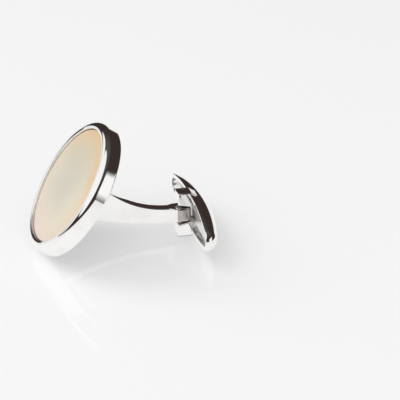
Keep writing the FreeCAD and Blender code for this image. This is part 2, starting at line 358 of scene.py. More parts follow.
@dataclass(frozen=True)
class SatinHollow(Finish):
    """The toggle's inside: plated but left satin, with a fine casting grain and painted shade deeper
    in.
    """

    name: str = "satin_hollow"
    bright: Colour = (0.94, 0.92, 0.905)
    dull_and_shaded: Colour = (0.83, 0.805, 0.79)
    cloud: Grain = Grain(0.8, 3.0)
    cloud_span: Pair = (0.35, 0.7)
    cloud_share: float = 0.6
    corner_shade_reach: float = 1.2
    corner_shade_span: Pair = (0.3, 0.95)
    corner_shade_share: float = 0.4
    corner_rough: float = 0.06
    gloss: float = 0.1
    grain: Grain = Grain(9.0, 4.0, 0.65)
    grain_rough: float = 0.12
    relief: Pair = (0.35, 0.01)

    def paint(self, board: Board) -> None:
        """Lays the hollow's nodes.

        Args:
            board: The material's board.
        """
        grain = board.noise(self.grain)
        cloud = board.step(board.noise(self.cloud), *self.cloud_span)
        # Recesses inside the toggle are darkened towards the dull colour: painted shade. The clouds
        # are the plating's own uneven tone.
        shaded_depth = board.step(board.crevice(self.corner_shade_reach), *self.corner_shade_span)
        share = cloud * self.cloud_share + shaded_depth * self.corner_shade_share
        colour = board.mix(share, self.bright, self.dull_and_shaded)
        rough = self.gloss + grain * self.grain_rough + shaded_depth * self.corner_rough
        board.close_metal(colour, rough, board.bump(grain, *self.relief))


@dataclass(frozen=True)
class Nacre(Finish):
    """Polished mother-of-pearl: cream with grey, gold and rose clouds and fine growth lines."""

    radius: float
    name: str = "mother_of_pearl"
    cloud: Grain = Grain(0.16)
    veil: Grain = Grain(0.3, stretch=(0.55, 1.6, 1.0), turn=(0.0, 0.0, 0.6))
    cream: Colour = (0.66, 0.62, 0.478)
    grey: Colour = (0.556, 0.528, 0.43)
    heart_cloud: float = 0.5
    heart_lean: float = 0.35
    heart_span: Pair = (0.25, 1.15)
    sage: Colour = (0.566, 0.548, 0.426)
    sage_span: Pair = (0.45, 0.8)
    sage_share: float = 0.3
    gold: Colour = (0.755, 0.557, 0.342)
    gold_round: float = 0.2
    gold_above: float = 0.75
    edge_veil: float = 0.25
    edge_shift: float = 0.12
    edge_span: Pair = (0.5, 1.0)
    above_lean: float = 0.45
    above_span: Pair = (-0.35, 0.75)
    rose: Colour = (0.71, 0.585, 0.515)
    rose_share: float = 0.45
    rose_cloud: float = 0.5
    below_span: Pair = (0.25, 1.0)
    gleam: Colour = (0.713, 0.679, 0.592)
    line_flow: Triple = (0.12, 0.3, 2.0)
    line_scale: float = 0.4
    line_share: float = 0.03
    gloss: float = 0.22
    veil_rough: float = 0.04
    refraction: float = 1.56
    coat: float = 0.6
    coat_gloss: float = 0.06
    film: float = 340.0
    film_refraction: float = 1.42

    def paint(self, board: Board) -> None:
        """Lays the nodes of the mother-of-pearl.

        Args:
            board: The material's board.
        """
        across, down = board.axes(board.place(), "XY")
        radial = (across ** 2.0 + down ** 2.0) ** 0.5 / self.radius
        side = across / self.radius
        height = down / self.radius
        cloud = board.noise(self.cloud)
        veil = board.noise(self.veil)
        middle = radial + cloud * self.heart_cloud - side * self.heart_lean
        colour = board.mix(1.0 - board.step(middle, *self.heart_span), self.cream, self.grey)
        colour = board.mix(board.step(veil, *self.sage_span) * self.sage_share, colour, self.sage)
        edge = board.step(radial + veil * self.edge_veil - self.edge_shift, *self.edge_span)
        above = board.step(0.0 - height - side * self.above_lean, *self.above_span)
        colour = board.mix(edge * (self.gold_round + above * self.gold_above), colour, self.gold)
        below = board.step(height, *self.below_span)
        colour = board.mix(below * (self.rose_share + cloud * self.rose_cloud), colour, self.rose)
        lines = self._growth_lines(board, across, down, cloud)
        colour = board.mix(lines * self.line_share, colour, self.gleam)
        board.close(board.surface({
            "Base Color": colour, "Roughness": self.gloss + veil * self.veil_rough,
            "IOR": self.refraction, "Coat Weight": self.coat, "Coat Roughness": self.coat_gloss,
            "Thin Film Thickness": self.film, "Thin Film IOR": self.film_refraction,
        }))

    def _growth_lines(self, board: Board, across: Wire, down: Wire, cloud: Wire) -> Wire:
        """Draws the lines of growth.

        Args:
            board: The material's board.
            across: The place across the face.
            down: The place down the face.
            cloud: The noise that bends the lines.

        Returns:
            A value that rises and falls from line to line.
        """
        by_side, by_height, by_cloud = self.line_flow
        flow = down * by_height + across * by_side + cloud * by_cloud
        along = board.add("ShaderNodeCombineXYZ", {}, {"X": flow})
        settings = {"wave_type": "BANDS", "bands_direction": "X"}
        inputs = {"Vector": along, "Scale": self.line_scale, "Distortion": 0.0, "Detail": 0.0}
        return board.add("ShaderNodeTexWave", settings, inputs, "Fac")


class Brush(Enum):
    """The way in which the marks of a steel finish run."""

    ROUND_PIN = Grain(2.4, 5.0, 0.65, (0.25, 0.25, 9.0))
    ALONG_LEAF = Grain(2.4, 5.0, 0.65, (9.0, 0.2, 9.0))


@dataclass(frozen=True)
class BrushedSteel(Finish):
    """Bare steel with fine marks along one way."""

    name: str
    brush: Brush
    bright: Colour
    dark: Colour
    gloss: float = 0.16
    grain: float = 0.2
    groove: float = 0.3
    groove_depth: float = 0.006
    streak_span: Pair = (0.3, 0.7)
    streak_share: float = 0.6
    cloud: Grain = Grain(0.7)
    cloud_share: float = 0.3
    cloud_rough: float = 0.06

    def paint(self, board: Board) -> None:
        """Lays the steel's nodes.

        Args:
            board: The material's board.
        """
        streak = board.noise(self.brush.value)
        cloud = board.noise(self.cloud)
        share = board.step(streak, *self.streak_span) * self.streak_share + cloud * self.cloud_share
        rough = self.gloss + streak * self.grain + cloud * self.cloud_rough
        normal = board.bump(streak, self.groove, self.groove_depth)
        board.close_metal(board.mix(share, self.bright, self.dark), rough, normal)


@dataclass(frozen=True)
class CuredGlue(Finish):
    """Clear glue with small clouds, as it cures in a thin film."""

    name: str = "cured_glue"
    clear: Colour = (0.86, 0.84, 0.78)
    cloudy: Colour = (0.76, 0.72, 0.62)
    cloud: Grain = Grain(1.4, 4.0)
    cloud_span: Pair = (0.4, 0.7)
    gloss: float = 0.12
    cloud_rough: float = 0.2
    relief: Pair = (0.2, 0.01)

    def paint(self, board: Board) -> None:
        """Lays the glue's nodes.

        Args:
            board: The material's board.
        """
        cloud = board.noise(self.cloud)
        board.close(board.surface({
            "Base Color": board.mix(board.step(cloud, *self.cloud_span), self.clear, self.cloudy),
            "Roughness": self.gloss + cloud * self.cloud_rough,
            "Normal": board.bump(cloud, *self.relief),
        }))


@dataclass(frozen=True)
class GlossTable(Finish):
    """The pale glossy table. Polished faces show it almost without the shadow that lies on it."""

    name: str = "gloss_table"
    tone: Colour = (0.89, 0.89, 0.895)
    faded: Colour = (0.88, 0.88, 0.885)
    faded_share: float = 0.3
    cloud: Grain = Grain(0.02)
    gloss: float = 0.05
    cloud_rough: float = 0.02
    refraction: float = 1.36
    mirrored: float = 0.97
    clean: float = 0.85
    veil: float = 0.3

    def paint(self, board: Board) -> None:
        """Lays the table's nodes.

        Args:
            board: The material's board.
        """
        cloud = board.noise(self.cloud)
        top = board.surface({
            "Base Color": board.mix(cloud * self.faded_share, self.tone, self.faded),
            "Roughness": self.gloss + cloud * self.cloud_rough, "IOR": self.refraction,
        })
        pale = board.add("ShaderNodeEmission", {}, {"Color": (self.mirrored,) * 3 + (1.0,)})
        glossy, camera = board.rays("Is Glossy Ray", "Is Camera Ray")
        share = glossy * self.clean + camera * self.veil
        board.close(board.add("ShaderNodeMixShader", {}, {0: share, 1: top, 2: pale}))


@dataclass
class Shape:
    """Vertices and faces in millimetres, with the number of each face's finish."""

    points: list[Vector] = field(default_factory=list)
    faces: list[tuple[int, ...]] = field(default_factory=list)
    inks: list[int] = field(default_factory=list)

    def skin(self, rows: Sequence[Row], ink: Callable[[int], int] = lambda column: 0,
             caps: bool = False) -> "Shape":
        """Stretches faces between closed rows of equal length.

        Args:
            rows: The rows, each a closed loop of points.
            ink: The number of the finish for each place along a row.
            caps: Whether the first and the last row are closed.

        Returns:
            The shape itself.
        """
        start = len(self.points)
        count = len(rows[0])
        for row in rows:
            self.points.extend(row)
        for i in range(len(rows) - 1):
            near = start + i * count
            far = near + count
            for j in range(count):
                k = (j + 1) % count
                self.faces.append((near + j, near + k, far + k, far + j))
                self.inks.append(ink(j))
        if caps:
            last = start + (len(rows) - 1) * count
            self.faces.append(tuple(range(start, start + count)))
            self.faces.append(tuple(range(last, last + count)))
            self.inks.extend([ink(0), ink(0)])
        return self

    def turned(self, profile: Sequence[Pair], segments: int) -> "Shape":
        """Turns a profile about the Z axis.

        Args:
            profile: Radii and heights.
            segments: How many faces go round.

        Returns:
            The shape itself.
        """
        angles = [2 * math.pi * k / segments for k in range(segments)]
        rows = [[Vector((r * math.cos(a), r * math.sin(a), h)) for a in angles] for r, h in profile]
        return self.skin(rows)

    def mesh(self, name: str) -> bpy.types.Mesh:
        """Makes a clean mesh in metres.

        Args:
            name: The mesh's name.

        Returns:
            The mesh, with faces that look outward.
        """
        work = bmesh.new()
        corners = [work.verts.new(point * MM) for point in self.points]
        for face, ink in zip(self.faces, self.inks):
            work.faces.new([corners[i] for i in face]).material_index = ink
        bmesh.ops.remove_doubles(work, verts=work.verts, dist=TINY)
        bmesh.ops.dissolve_degenerate(work, dist=TINY, edges=work.edges)
        bmesh.ops.recalc_face_normals(work, faces=work.faces)
        shade(work, SHARP_EDGE)
        return finished(work, name)


def shade(work: bmesh.types.BMesh, sharp: float) -> None:
    """Shades all faces smooth and keeps the sharper edges sharp.

    Args:
        work: The mesh in the making.
        sharp: The angle above which an edge stays sharp, in degrees.
    """
    for face in work.faces:
        face.smooth = True
    for edge in work.edges:
        edge.smooth = len(edge.link_faces) == 2 and edge.calc_face_angle(0.0) < math.radians(sharp)


def finished(work: bmesh.types.BMesh, name: str) -> bpy.types.Mesh:
    """Closes the work on a mesh.

    Args:
        work: The mesh in the making, which is freed.
        name: The mesh's name.

    Returns:
        The mesh.
    """
    mesh = bpy.data.meshes.new(name)
    work.to_mesh(mesh)
    work.free()
    return mesh


def drilled(mesh: bpy.types.Mesh, radius: float) -> bpy.types.Mesh:
    """Cuts a round hole along Z through a mesh.

    Args:
        mesh: The mesh to drill.
        radius: The hole's radius, in millimetres.

    Returns:
        The drilled mesh.
    """
    low, high = -DRILL_REACH, DRILL_REACH
    profile = [(0.0, low), (radius, low), (radius, high), (0.0, high)]
    target = bpy.data.objects.new("target", mesh)
    cutter = bpy.data.objects.new("cutter", Shape().turned(profile, segments=48).mesh("drill"))
    for item in (target, cutter):
        bpy.context.scene.collection.objects.link(item)
    cut = target.modifiers.new("hole", "BOOLEAN")
    cut.operation = "DIFFERENCE"
    cut.solver = "EXACT"
    cut.object = cutter
    ready = target.evaluated_get(bpy.context.evaluated_depsgraph_get())
    result = bpy.data.meshes.new_from_object(ready)
    for item in (target, cutter):
        bpy.data.objects.remove(item)
    return result


def arc(middle: Pair, radius: float, start: float, end: float, steps: int) -> list[Pair]:
    """Gives points along an arc.

    Args:
        middle: The arc's centre.
        radius: Its radius.
        start: Its first angle, in degrees.
        end: Its last angle, in degrees.
        steps: How many chords it has.

    Returns:
        The points, both ends included.
    """
    angles = [math.radians(start + (end - start) * k / steps) for k in range(steps + 1)]
    return [(middle[0] + radius * math.cos(a), middle[1] + radius * math.sin(a)) for a in angles]


def run(start: Pair, end: Pair, near: float = 0.06, most: float = 0.3) -> list[Pair]:
    """Gives a straight run with a point close to each end, which keeps its shading flat.

    Args:
        start: The first point.
        end: The last point.
        near: How close the points are to the ends.
        most: The largest share of the run that this may be.

    Returns:
        The four points.
    """
    first = Vector(start)
    last = Vector(end)
    share = min(near / max((last - first).length, TINY), most)
    return [tuple(first.lerp(last, t)) for t in (0.0, share, 1.0 - share, 1.0)]


def rounded_outline(half_a: float, half_b: float, corner: float, steps: int) -> list[Pair]:
    """Gives the outline of a rectangle with round corners.

    Args:
        half_a: Half its length.
        half_b: Half its width.
        corner: The radius of its corners.
        steps: Chords for each corner.

    Returns:
        The outline's points, counter-clockwise.
    """
    points: list[Pair] = []
    for sign_a, sign_b, start in ((1, 1, 0), (-1, 1, 90), (-1, -1, 180), (1, -1, 270)):
        middle = (sign_a * (half_a - corner), sign_b * (half_b - corner))
        points.extend(arc(middle, corner, start, start + 90, steps))
    return points


def eased_levels(half: float, ease: float, steps: int) -> list[Pair]:
    """Gives the levels of a slab with round edges.

    Args:
        half: Half the slab's thickness.
        ease: The radius of its edges.
        steps: Chords for each edge.

    Returns:
        How far each level is set in, and its height, from the top down.
    """
    edge = arc((0.0, 0.0), ease, 90, 0, steps)
    levels = [(ease - inset, half - ease + rise) for inset, rise in edge]
    return levels + [(inset, -level) for inset, level in reversed(levels)]


@dataclass
class Workshop:
    """Turns meshes into pieces that ride on the CAD bodies and reports them."""

    frame: dict[str, Any]
    dressed: list[str] = field(default_factory=list)

    def piece(self, mesh: bpy.types.Mesh, stand: Matrix, body: Body, node: str,
              finishes: Iterable[bpy.types.Material]) -> None:
        """Makes a piece that replaces a CAD node.

        Args:
            mesh: The piece's mesh, in its own frame.
            stand: Where that frame stands.
            body: The body that carries the piece.
            node: The CAD node that it stands for.
            finishes: Its materials, in the order of their numbers.
        """
        item = bpy.data.objects.new(node + "_piece", mesh)
        bpy.context.scene.collection.objects.link(item)
        item.matrix_world = stand
        for finish in finishes:
            mesh.materials.append(finish)
        flat = item.modifiers.new("even_faces", "WEIGHTED_NORMAL")
        flat.keep_sharp = True
        flat.weight = FACE_WEIGHT
        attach(item, body.value)
        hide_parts(node)
        self.dressed.append(node)
        self._report(item, node)

    def dress(self, node: str, finish: bpy.types.Material) -> None:
        """Gives a CAD node that stays in view its finish.

        Args:
            node: The CAD node.
            finish: Its material.
        """
        target = self.frame["nodes"][node]
        target.data.materials.clear()
        target.data.materials.append(finish)
        self.dressed.append(node)
        LOG.info("%s keeps its CAD mesh, finish %s", node, finish.name)

    @staticmethod
    def _report(item: bpy.types.Object, node: str) -> None:
        """Reports a piece and how far its box departs from its node's box.

        Args:
            item: The piece.
            node: The CAD node that it stands for.
        """
        low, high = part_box(node)
        corners = [item.matrix_world @ vertex.co for vertex in item.data.vertices]
        gaps = []
        for axis in range(3):
            values = [corner[axis] for corner in corners]
            gaps.append(max(abs(min(values) - low[axis]), abs(max(values) - high[axis])) / MM)
        count = len(item.data.polygons)
        LOG.info("%s: %d faces, box within %.3f mm of its node", item.name, count, max(gaps))


@dataclass
class Head:
    """The round head: rim, cup and inlay, drawn with the inlay's face at height 0."""

    radius: float = 9.35
    depth: float = 2.25
    back_edge: float = 0.3
    bore_radius: float = 8.17
    rim_round: float = 0.85
    rim_rise: float = 0.25
    lip_drop: float = 0.03
    lip_ease: float = 0.09
    ring_depth: float = 0.72
    inlay_radius: float = 8.15
    inlay_bevel: float = 0.2
    inlay_ease: float = 0.05
    inlay_margin: float = 0.15
    inlay_rings: tuple[float, ...] = (0.0, 2.0, 4.0, 6.0)
    inlay_thickness: float = 0.8
    glue: float = 0.06

    def stand(self, record: Mapping[str, Any]) -> Matrix:
        """Finds the head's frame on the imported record.

        Args:
            record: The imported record, whose mount on the inlay gives the place and the way it faces.

        Returns:
            The frame, with Z out of the face and Y down the face.
        """
        mount = next(item for item in record["mounts"] if item["name"] == "inlay_face")
        outward = Vector(mount["axis"]).normalized()
        across = Vector((0.0, 1.0, 0.0))
        down = outward.cross(across)
        turn = Matrix((across, down, outward)).transposed().to_4x4()
        return Matrix.Translation(mount["pos_m"]) @ turn

    def rim_mesh(self) -> bpy.types.Mesh:
        """Turns the rim: one round from its top to its outside, and an upright wall inside.

        Returns:
            The rim's mesh.
        """
        middle = (self.radius - self.rim_round, self.rim_rise - self.rim_round)
        bend = arc(middle, self.rim_round, 0, 90, steps=48)
        ease = self.lip_ease
        lip_middle = (self.bore_radius + ease, self.rim_rise - self.lip_drop - ease)
        lip = arc(lip_middle, ease, 90, 180, steps=9)
        foot = (self.radius, -self.ring_depth)
        inside = (self.bore_radius, -self.ring_depth)
        profile = run(inside, foot) + run(foot, bend[0], near=0.02)[1:3] + bend
        profile += run(bend[-1], lip[0])[1:3] + lip + run(lip[-1], inside, near=0.03)[1:]
        return Shape().turned(profile, segments=256).mesh("rim")

    def cup_mesh(self) -> bpy.types.Mesh:
        """Turns the cup: a flat back, a wall with a round edge and a bed for the inlay.

        Returns:
            The cup's mesh.
        """
        edge = self.back_edge
        back = arc((self.radius - edge, edge - self.depth), edge, -90, 0, steps=14)
        seam = (self.radius, -self.ring_depth)
        bed = self.inlay_thickness + self.glue
        profile = run((0.0, -self.depth), back[0], near=0.1)[:-1] + back
        profile += run(back[-1], seam)[1:]
        profile += run(seam, (self.bore_radius, -self.ring_depth))[1:]
        profile += [(self.bore_radius, -bed), (0.0, -bed)]
        return Shape().turned(profile, segments=256).mesh("cup")

    def inlay_mesh(self) -> bpy.types.Mesh:
        """Turns the inlay: a flat disc whose edge is softly rounded.

        Returns:
            The inlay's mesh.
        """
        flat = self.inlay_radius - self.inlay_bevel
        ease = self.inlay_ease
        rings = [(r, 0.0) for r in (*self.inlay_rings, flat - self.inlay_margin)]
        bevel = arc((flat - ease, -self.inlay_bevel - ease), self.inlay_bevel + ease, 90, 0, steps=10)
        foot = (self.inlay_radius, -self.inlay_thickness)
        profile = rings + bevel + [foot, (0.0, -self.inlay_thickness)]
        return Shape().turned(profile, segments=192).mesh("inlay")

    def build(self, shop: Workshop, plate: bpy.types.Material, nacre: bpy.types.Material,
              glue: bpy.types.Material) -> None:
        """Makes and dresses the pieces of the head.

        Args:
            shop: Where the pieces are made.
            plate: The polished plating.
            nacre: The mother-of-pearl.
            glue: The film under the inlay.
        """
        stand = self.stand(shop.frame["record"])
        body = Body.HEAD_AND_ARM
        shop.piece(self.rim_mesh(), stand, body, "bezel_ring", [plate])
        shop.piece(self.cup_mesh(), stand, body, "back_cup", [plate])
        shop.piece(self.inlay_mesh(), stand, body, "pearl_inlay", [nacre])
        shop.dress("adhesive_bed", glue)


@dataclass(frozen=True)
class Hinge:
    """The sizes that the arm and the toggle share at the pin."""

    ear_half: float = 1.0
    ear_reach: float = 0.75
    neck_clearance: float = 0.16
    knuckle_half: float = 1.1
    knuckle_corner: float = 0.7
    spring_clearance: float = 0.06

    @property
    def neck_length(self) -> float:
        """How far the arm's straight neck reaches from the pin, past the turning ears."""
        return math.hypot(self.ear_reach, self.ear_half) + self.neck_clearance

    @property
    def spring_front(self) -> float:
        """How far the leaf lies from the pin, clear of the turning knuckle's corners."""
        corner_place = (self.knuckle_half - self.knuckle_corner) * math.sqrt(2)
        return corner_place + self.knuckle_corner + self.spring_clearance

    @staticmethod
    def stand(frame: Mapping[str, Any]) -> Matrix:
        """Gives the frame at the middle of the pin, with Z along the pin."""
        return Matrix.Translation(frame["joints"][0]["pos_m"])


@dataclass
class Arm:
    """The curved strap from the back of the head to the knuckle, drawn from the pivot."""

    hinge: Hinge = Hinge()
    width: float = 1.35
    edge: float = 0.14
    neck: float = 2.0
    foot_up: float = 2.6
    foot_down: float = 3.3
    foot_sink: float = 0.05
    back_depth: float = 2.25
    solder: float = 0.32
    solder_rows: int = 14
    solder_step: float = 0.0022
    strap_start: float = 0.032
    strap_steps: int = 110
    flare: float = 0.3
    flare_start: float = 2.2
    flare_length: float = 0.9
    knuckle_tall: float = 2.05
    knuckle_edge: float = 0.32

    def edge_point(self, foot: Vector, share: float, neck_level: float) -> Vector:
        """Gives a point on the strap's upper or lower edge.

        Args:
            foot: Where that edge meets the back of the head.
            share: The place along the arm, from 0 at the foot to 1 at the pivot.
            neck_level: The height of that edge at the neck.

        Returns:
            The point, from the pivot.
        """
        x = foot.x * (1 - share)
        ahead = x + self.hinge.neck_length
        level = neck_level
        if ahead < 0:
            length = foot.x + self.hinge.neck_length
            rise = foot.z - neck_level
            radius = (length ** 2 + rise ** 2) / (2 * rise)
            level = neck_level + radius - math.copysign(math.sqrt(radius ** 2 - ahead ** 2), radius)
        return Vector((x, 0.0, level))

    def strap_rows(self, back: Vector, outward: Vector) -> list[Row]:
        """Lays rounded sections along the strap, with a solder fillet at its foot.

        Args:
            back: The middle of the head's back, from the pivot.
            outward: The way the head faces.

        Returns:
            The sections, from the foot to the pivot.
        """
        along = Vector((outward.z, 0.0, -outward.x))
        upper = back + along * self.foot_up
        lower = back - along * self.foot_down
        start = self.strap_start
        shares = [k * self.solder_step for k in range(self.solder_rows)]
        shares += [start + (1 - start) * k / self.strap_steps for k in range(self.strap_steps + 1)]
        rows = []
        for share in shares:
            top = self.edge_point(upper, share, self.neck / 2)
            low = self.edge_point(lower, share, -self.neck / 2)
            middle = (top + low) / 2
            upward = (top - low).normalized()
            lift = max((middle - back).dot(-outward), 0.0)
            grow = 0.0
            if lift < self.solder:
                grow = self.solder - math.sqrt(self.solder ** 2 - (self.solder - lift) ** 2)
            ease = min(max((middle.x + self.flare_start) / self.flare_length, 0.0), 1.0)
            spread = self.flare * ease * ease * (3 - 2 * ease)
            outline = rounded_outline((top - low).length / 2 + grow, self.width / 2 + grow + spread,
                                      self.edge + grow, steps=6)
            rows.append([middle + upward * a + Vector((0.0, b, 0.0)) for a, b in outline])
        sunk = [point + outward * self.foot_sink for point in rows[0]]
        return [sunk] + rows

    def knuckle_rows(self) -> list[Row]:
        """Stacks the outlines of the square knuckle, with round edges.

        Returns:
            The outlines, from the top down.
        """
        rows = []
        for inset, level in eased_levels(self.knuckle_tall / 2, self.knuckle_edge, steps=5):
            half = self.hinge.knuckle_half - inset
            outline = rounded_outline(half, half, self.hinge.knuckle_corner - inset, steps=12)
            rows.append([Vector((a, b, level)) for a, b in outline])
        return rows

    def build(self, shop: Workshop, head: Matrix, plate: bpy.types.Material,
              dull_and_shaded: bpy.types.Material) -> None:
        """Makes and dresses the arm.

        Args:
            shop: Where the piece is made.
            head: The frame of the head.
            plate: The polished plating.
            dull_and_shaded: The knuckle's rougher plating, darkened with painted shade from the slot
                that it turns in.
        """
        stand = self.hinge.stand(shop.frame)
        outward = head.to_3x3() @ Vector((0.0, 0.0, 1.0))
        face = (head.translation - stand.translation) / MM
        shape = Shape()
        shape.skin(self.strap_rows(face - outward * self.back_depth, outward), caps=True)
        shape.skin(self.knuckle_rows(), lambda column: 1, caps=True)
        shop.piece(shape.mesh("arm"), stand, Body.HEAD_AND_ARM, "arm", [plate, dull_and_shaded])


@dataclass
class Toggle:
    """The hollow boat with its ears, pin and leaf spring, drawn from the pivot."""

    hinge: Hinge = Hinge()
    half: float = 10.2
    half_width: float = 2.7
    wall: float = 0.6
    setback: float = 1.06
    nose: float = 1.55
    rim_tip: float = 0.835
    rim_bow: float = 0.2
    rim_edge: float = 0.13
    rim_edge_share: float = 0.35
    sections: int = 168
    outer_steps: int = 56
    inner_steps: int = 44
    corner_steps: int = 5
    sharp: float = 32.0
    slot_half: float = 1.125
    ear_rise: float = 0.45
    ear_taper: float = 0.35
    ear_taper_length: float = 1.5
    ear_root: float = math.radians(60)
    ear_bury: float = 0.1
    ear_edge: float = 0.16
    ear_hole: float = 0.46
    pin_radius: float = 0.45
    pin_recess: float = 0.015
    pin_ease: float = 0.03
    spring_thick: float = 0.25
    spring_tall: float = 1.6
    spring_gap: float = 0.02
    spring_ease: float = 0.05
    spring_corner: float = 0.35

    @property
    def side_arc(self) -> float:
        """The radius of the boat's long side."""
        ends = (self.half - self.nose) ** 2 + self.half_width ** 2 - self.nose ** 2
        return ends / (2 * (self.half_width - self.nose))

    @property
    def ear_top(self) -> float:
        """The height of the upper ear's flat face."""
        return self.half_width + self.ear_rise

    @property
    def spring_half(self) -> float:
        """Half the length at which the leaf's back corners meet the inside of the boat.

        Returns:
            The length, less the leaf's gap.
        """
        depth = self.hinge.spring_front + self.spring_thick - self.setback
        seat = math.hypot(depth, self.spring_tall / 2) - self.half_width + self.side_arc
        return math.sqrt((self.side_arc - self.wall) ** 2 - seat ** 2) - self.spring_gap

    def ear_outline(self) -> list[Pair]:
        """Draws the side of the upper ear, with a tapered tip and a root in the boat's wall.

        Returns:
            The outline's corners.
        """
        reach = self.hinge.ear_reach
        depth = self.half_width * math.cos(self.ear_root)
        root = self.setback + depth
        root_low = math.sqrt((self.half_width - self.wall) ** 2 - depth ** 2) + self.ear_bury
        root_top = self.half_width * math.sin(self.ear_root) - self.ear_bury
        return [
            (-reach, self.slot_half + self.ear_taper),
            (self.ear_taper_length - reach, self.slot_half),
            (self.setback + self.wall, self.slot_half),
            (root, root_low),
            (root, root_top),
            (self.rim_tip + self.rim_bow, self.ear_top),
            (-reach, self.ear_top),
        ]

    def girth(self, y: float, wall: float) -> float:
        """Gives the boat's radius at a place along it.

        Args:
            y: The place along the toggle.
            wall: How far inside the outer face.

        Returns:
            The radius, which is 0 past the end.
        """
        nose_place = self.half - self.nose
        side = self.side_arc
        join = nose_place * (side - wall) / (side - self.nose)
        if abs(y) <= join:
            return self.half_width - side + math.sqrt((side - wall) ** 2 - y ** 2)
        return math.sqrt(max((self.nose - wall) ** 2 - (abs(y) - nose_place) ** 2, 0.0))

    def rim(self, y: float) -> float:
        """Gives the place of the rim, from the boat's long axis, at a place along it."""
        radius = (self.half ** 2 + self.rim_bow ** 2) / (2 * self.rim_bow)
        return self.rim_tip + self.rim_bow - radius + math.sqrt(radius ** 2 - y ** 2) - self.setback

    def section(self, y: float) -> Row:
        """Draws the boat's cross-section with rounded rim edges.

        Args:
            y: The place along the toggle.

        Returns:
            A closed loop: outer face, upper rim, inner face, lower rim.
        """
        cut = self.rim(y)
        outer = self.girth(y, 0.0)
        inner = self.girth(y, self.wall)
        hollow = inner > abs(cut)
        outer_end = math.acos(min(max(cut / outer, -1.0), 1.0)) if outer > TINY else math.pi
        inner_end = math.acos(cut / inner) if hollow else 0.0
        tip = outer * math.sin(outer_end)
        lip = inner * math.sin(inner_end)
        ease = min(self.rim_edge, self.rim_edge_share * max(tip - lip, 0.0))
        outer_stop = outer_end - (ease / outer if outer > TINY else 0.0)
        skin_out = self._around(outer, outer_stop, self.outer_steps)
        if hollow:
            inner_stop = inner_end - ease / inner
            skin_in = self._around(inner, -inner_stop, self.inner_steps)
        else:
            skin_in = [(cut, 0.0)] * (self.inner_steps + 1)
        turn_out = self._corner(skin_out[-1], (cut, tip), (cut, tip - ease))
        turn_in = self._corner((cut, lip + ease), (cut, lip), skin_in[0])
        upper = turn_out[1:] + turn_in[:-1]
        lower = [(a, -b) for a, b in reversed(upper)]
        return [Vector((self.setback + a, y, b)) for a, b in skin_out + upper + skin_in + lower]

    @staticmethod
    def _around(radius: float, stop: float, steps: int) -> list[Pair]:
        """Gives points round the boat's long axis, from minus the angle to the angle, in radians."""
        angles = [stop * (2 * k / steps - 1) for k in range(steps + 1)]
        return [(radius * math.cos(a), radius * math.sin(a)) for a in angles]

    def _corner(self, start: Pair, tip: Pair, end: Pair) -> list[Pair]:
        """Rounds a corner between two points.

        Args:
            start: The first point.
            tip: The corner.
            end: The last point.

        Returns:
            The points, both ends included.
        """
        first, middle, last = Vector(start), Vector(tip), Vector(end)
        shares = [k / self.corner_steps for k in range(self.corner_steps + 1)]
        return [tuple(first.lerp(middle, t).lerp(middle.lerp(last, t), t)) for t in shares]

    def boat(self) -> Shape:
        """Lays the cross-sections along the boat, closer together at its noses.

        Returns:
            The boat, with finish 1 on its inside.
        """
        count = self.sections
        places = [self.half * math.sin(math.pi * (k / count - 0.5)) for k in range(count + 1)]
        first = self.outer_steps + 1 + 2 * self.corner_steps
        inside = range(first, first + self.inner_steps)
        return Shape().skin([self.section(y) for y in places], lambda column: int(column in inside))

    def ear_mesh(self, side: float) -> bpy.types.Mesh:
        """Makes one ear, rounded and drilled for the pin.

        Args:
            side: 1 for the upper ear and -1 for the lower one.

        Returns:
            The ear's mesh.
        """
        half = self.hinge.ear_half
        work = bmesh.new()
        corners = [work.verts.new(Vector((x, -half, z * side)) * MM) for x, z in self.ear_outline()]
        swept = bmesh.ops.extrude_face_region(work, geom=[work.faces.new(corners)])
        moved = [item for item in swept["geom"] if isinstance(item, bmesh.types.BMVert)]
        bmesh.ops.translate(work, verts=moved, vec=Vector((0.0, 2 * half, 0.0)) * MM)
        bmesh.ops.recalc_face_normals(work, faces=work.faces)
        bmesh.ops.bevel(work, geom=list(work.edges), offset=self.ear_edge * MM, segments=4,
                        profile=0.5, affect="EDGES", clamp_overlap=True)
        return drilled(finished(work, "ear"), self.ear_hole)

    def shell_mesh(self) -> bpy.types.Mesh:
        """Joins the boat and its two ears.

        Returns:
            The shell's mesh.
        """
        work = bmesh.new()
        for part in (self.boat().mesh("boat"), self.ear_mesh(1.0), self.ear_mesh(-1.0)):
            work.from_mesh(part)
            bpy.data.meshes.remove(part)
        shade(work, self.sharp)
        return finished(work, "shell")

    def pin_mesh(self) -> bpy.types.Mesh:
        """Turns the pin, with eased ends.

        Returns:
            The pin's mesh.
        """
        end = self.ear_top - self.pin_recess
        ease = self.pin_ease
        upper = arc((self.pin_radius - ease, end - ease), ease, 0, 90, steps=6)
        lower = [(r, -h) for r, h in reversed(upper)]
        profile = [(0.0, -end)] + lower + upper + [(0.0, end)]
        return Shape().turned(profile, segments=72).mesh("pin")

    def spring_mesh(self) -> bpy.types.Mesh:
        """Makes the leaf, with round corners and eased edges.

        Returns:
            The leaf's mesh.
        """
        half = self.spring_thick / 2
        rows = []
        for inset, level in eased_levels(half, self.spring_ease, steps=4):
            outline = rounded_outline(self.spring_half - inset, self.spring_tall / 2 - inset,
                                      self.spring_corner - inset, steps=8)
            rows.append([Vector((self.hinge.spring_front + half + level, a, b)) for a, b in outline])
        return Shape().skin(rows, caps=True).mesh("spring")

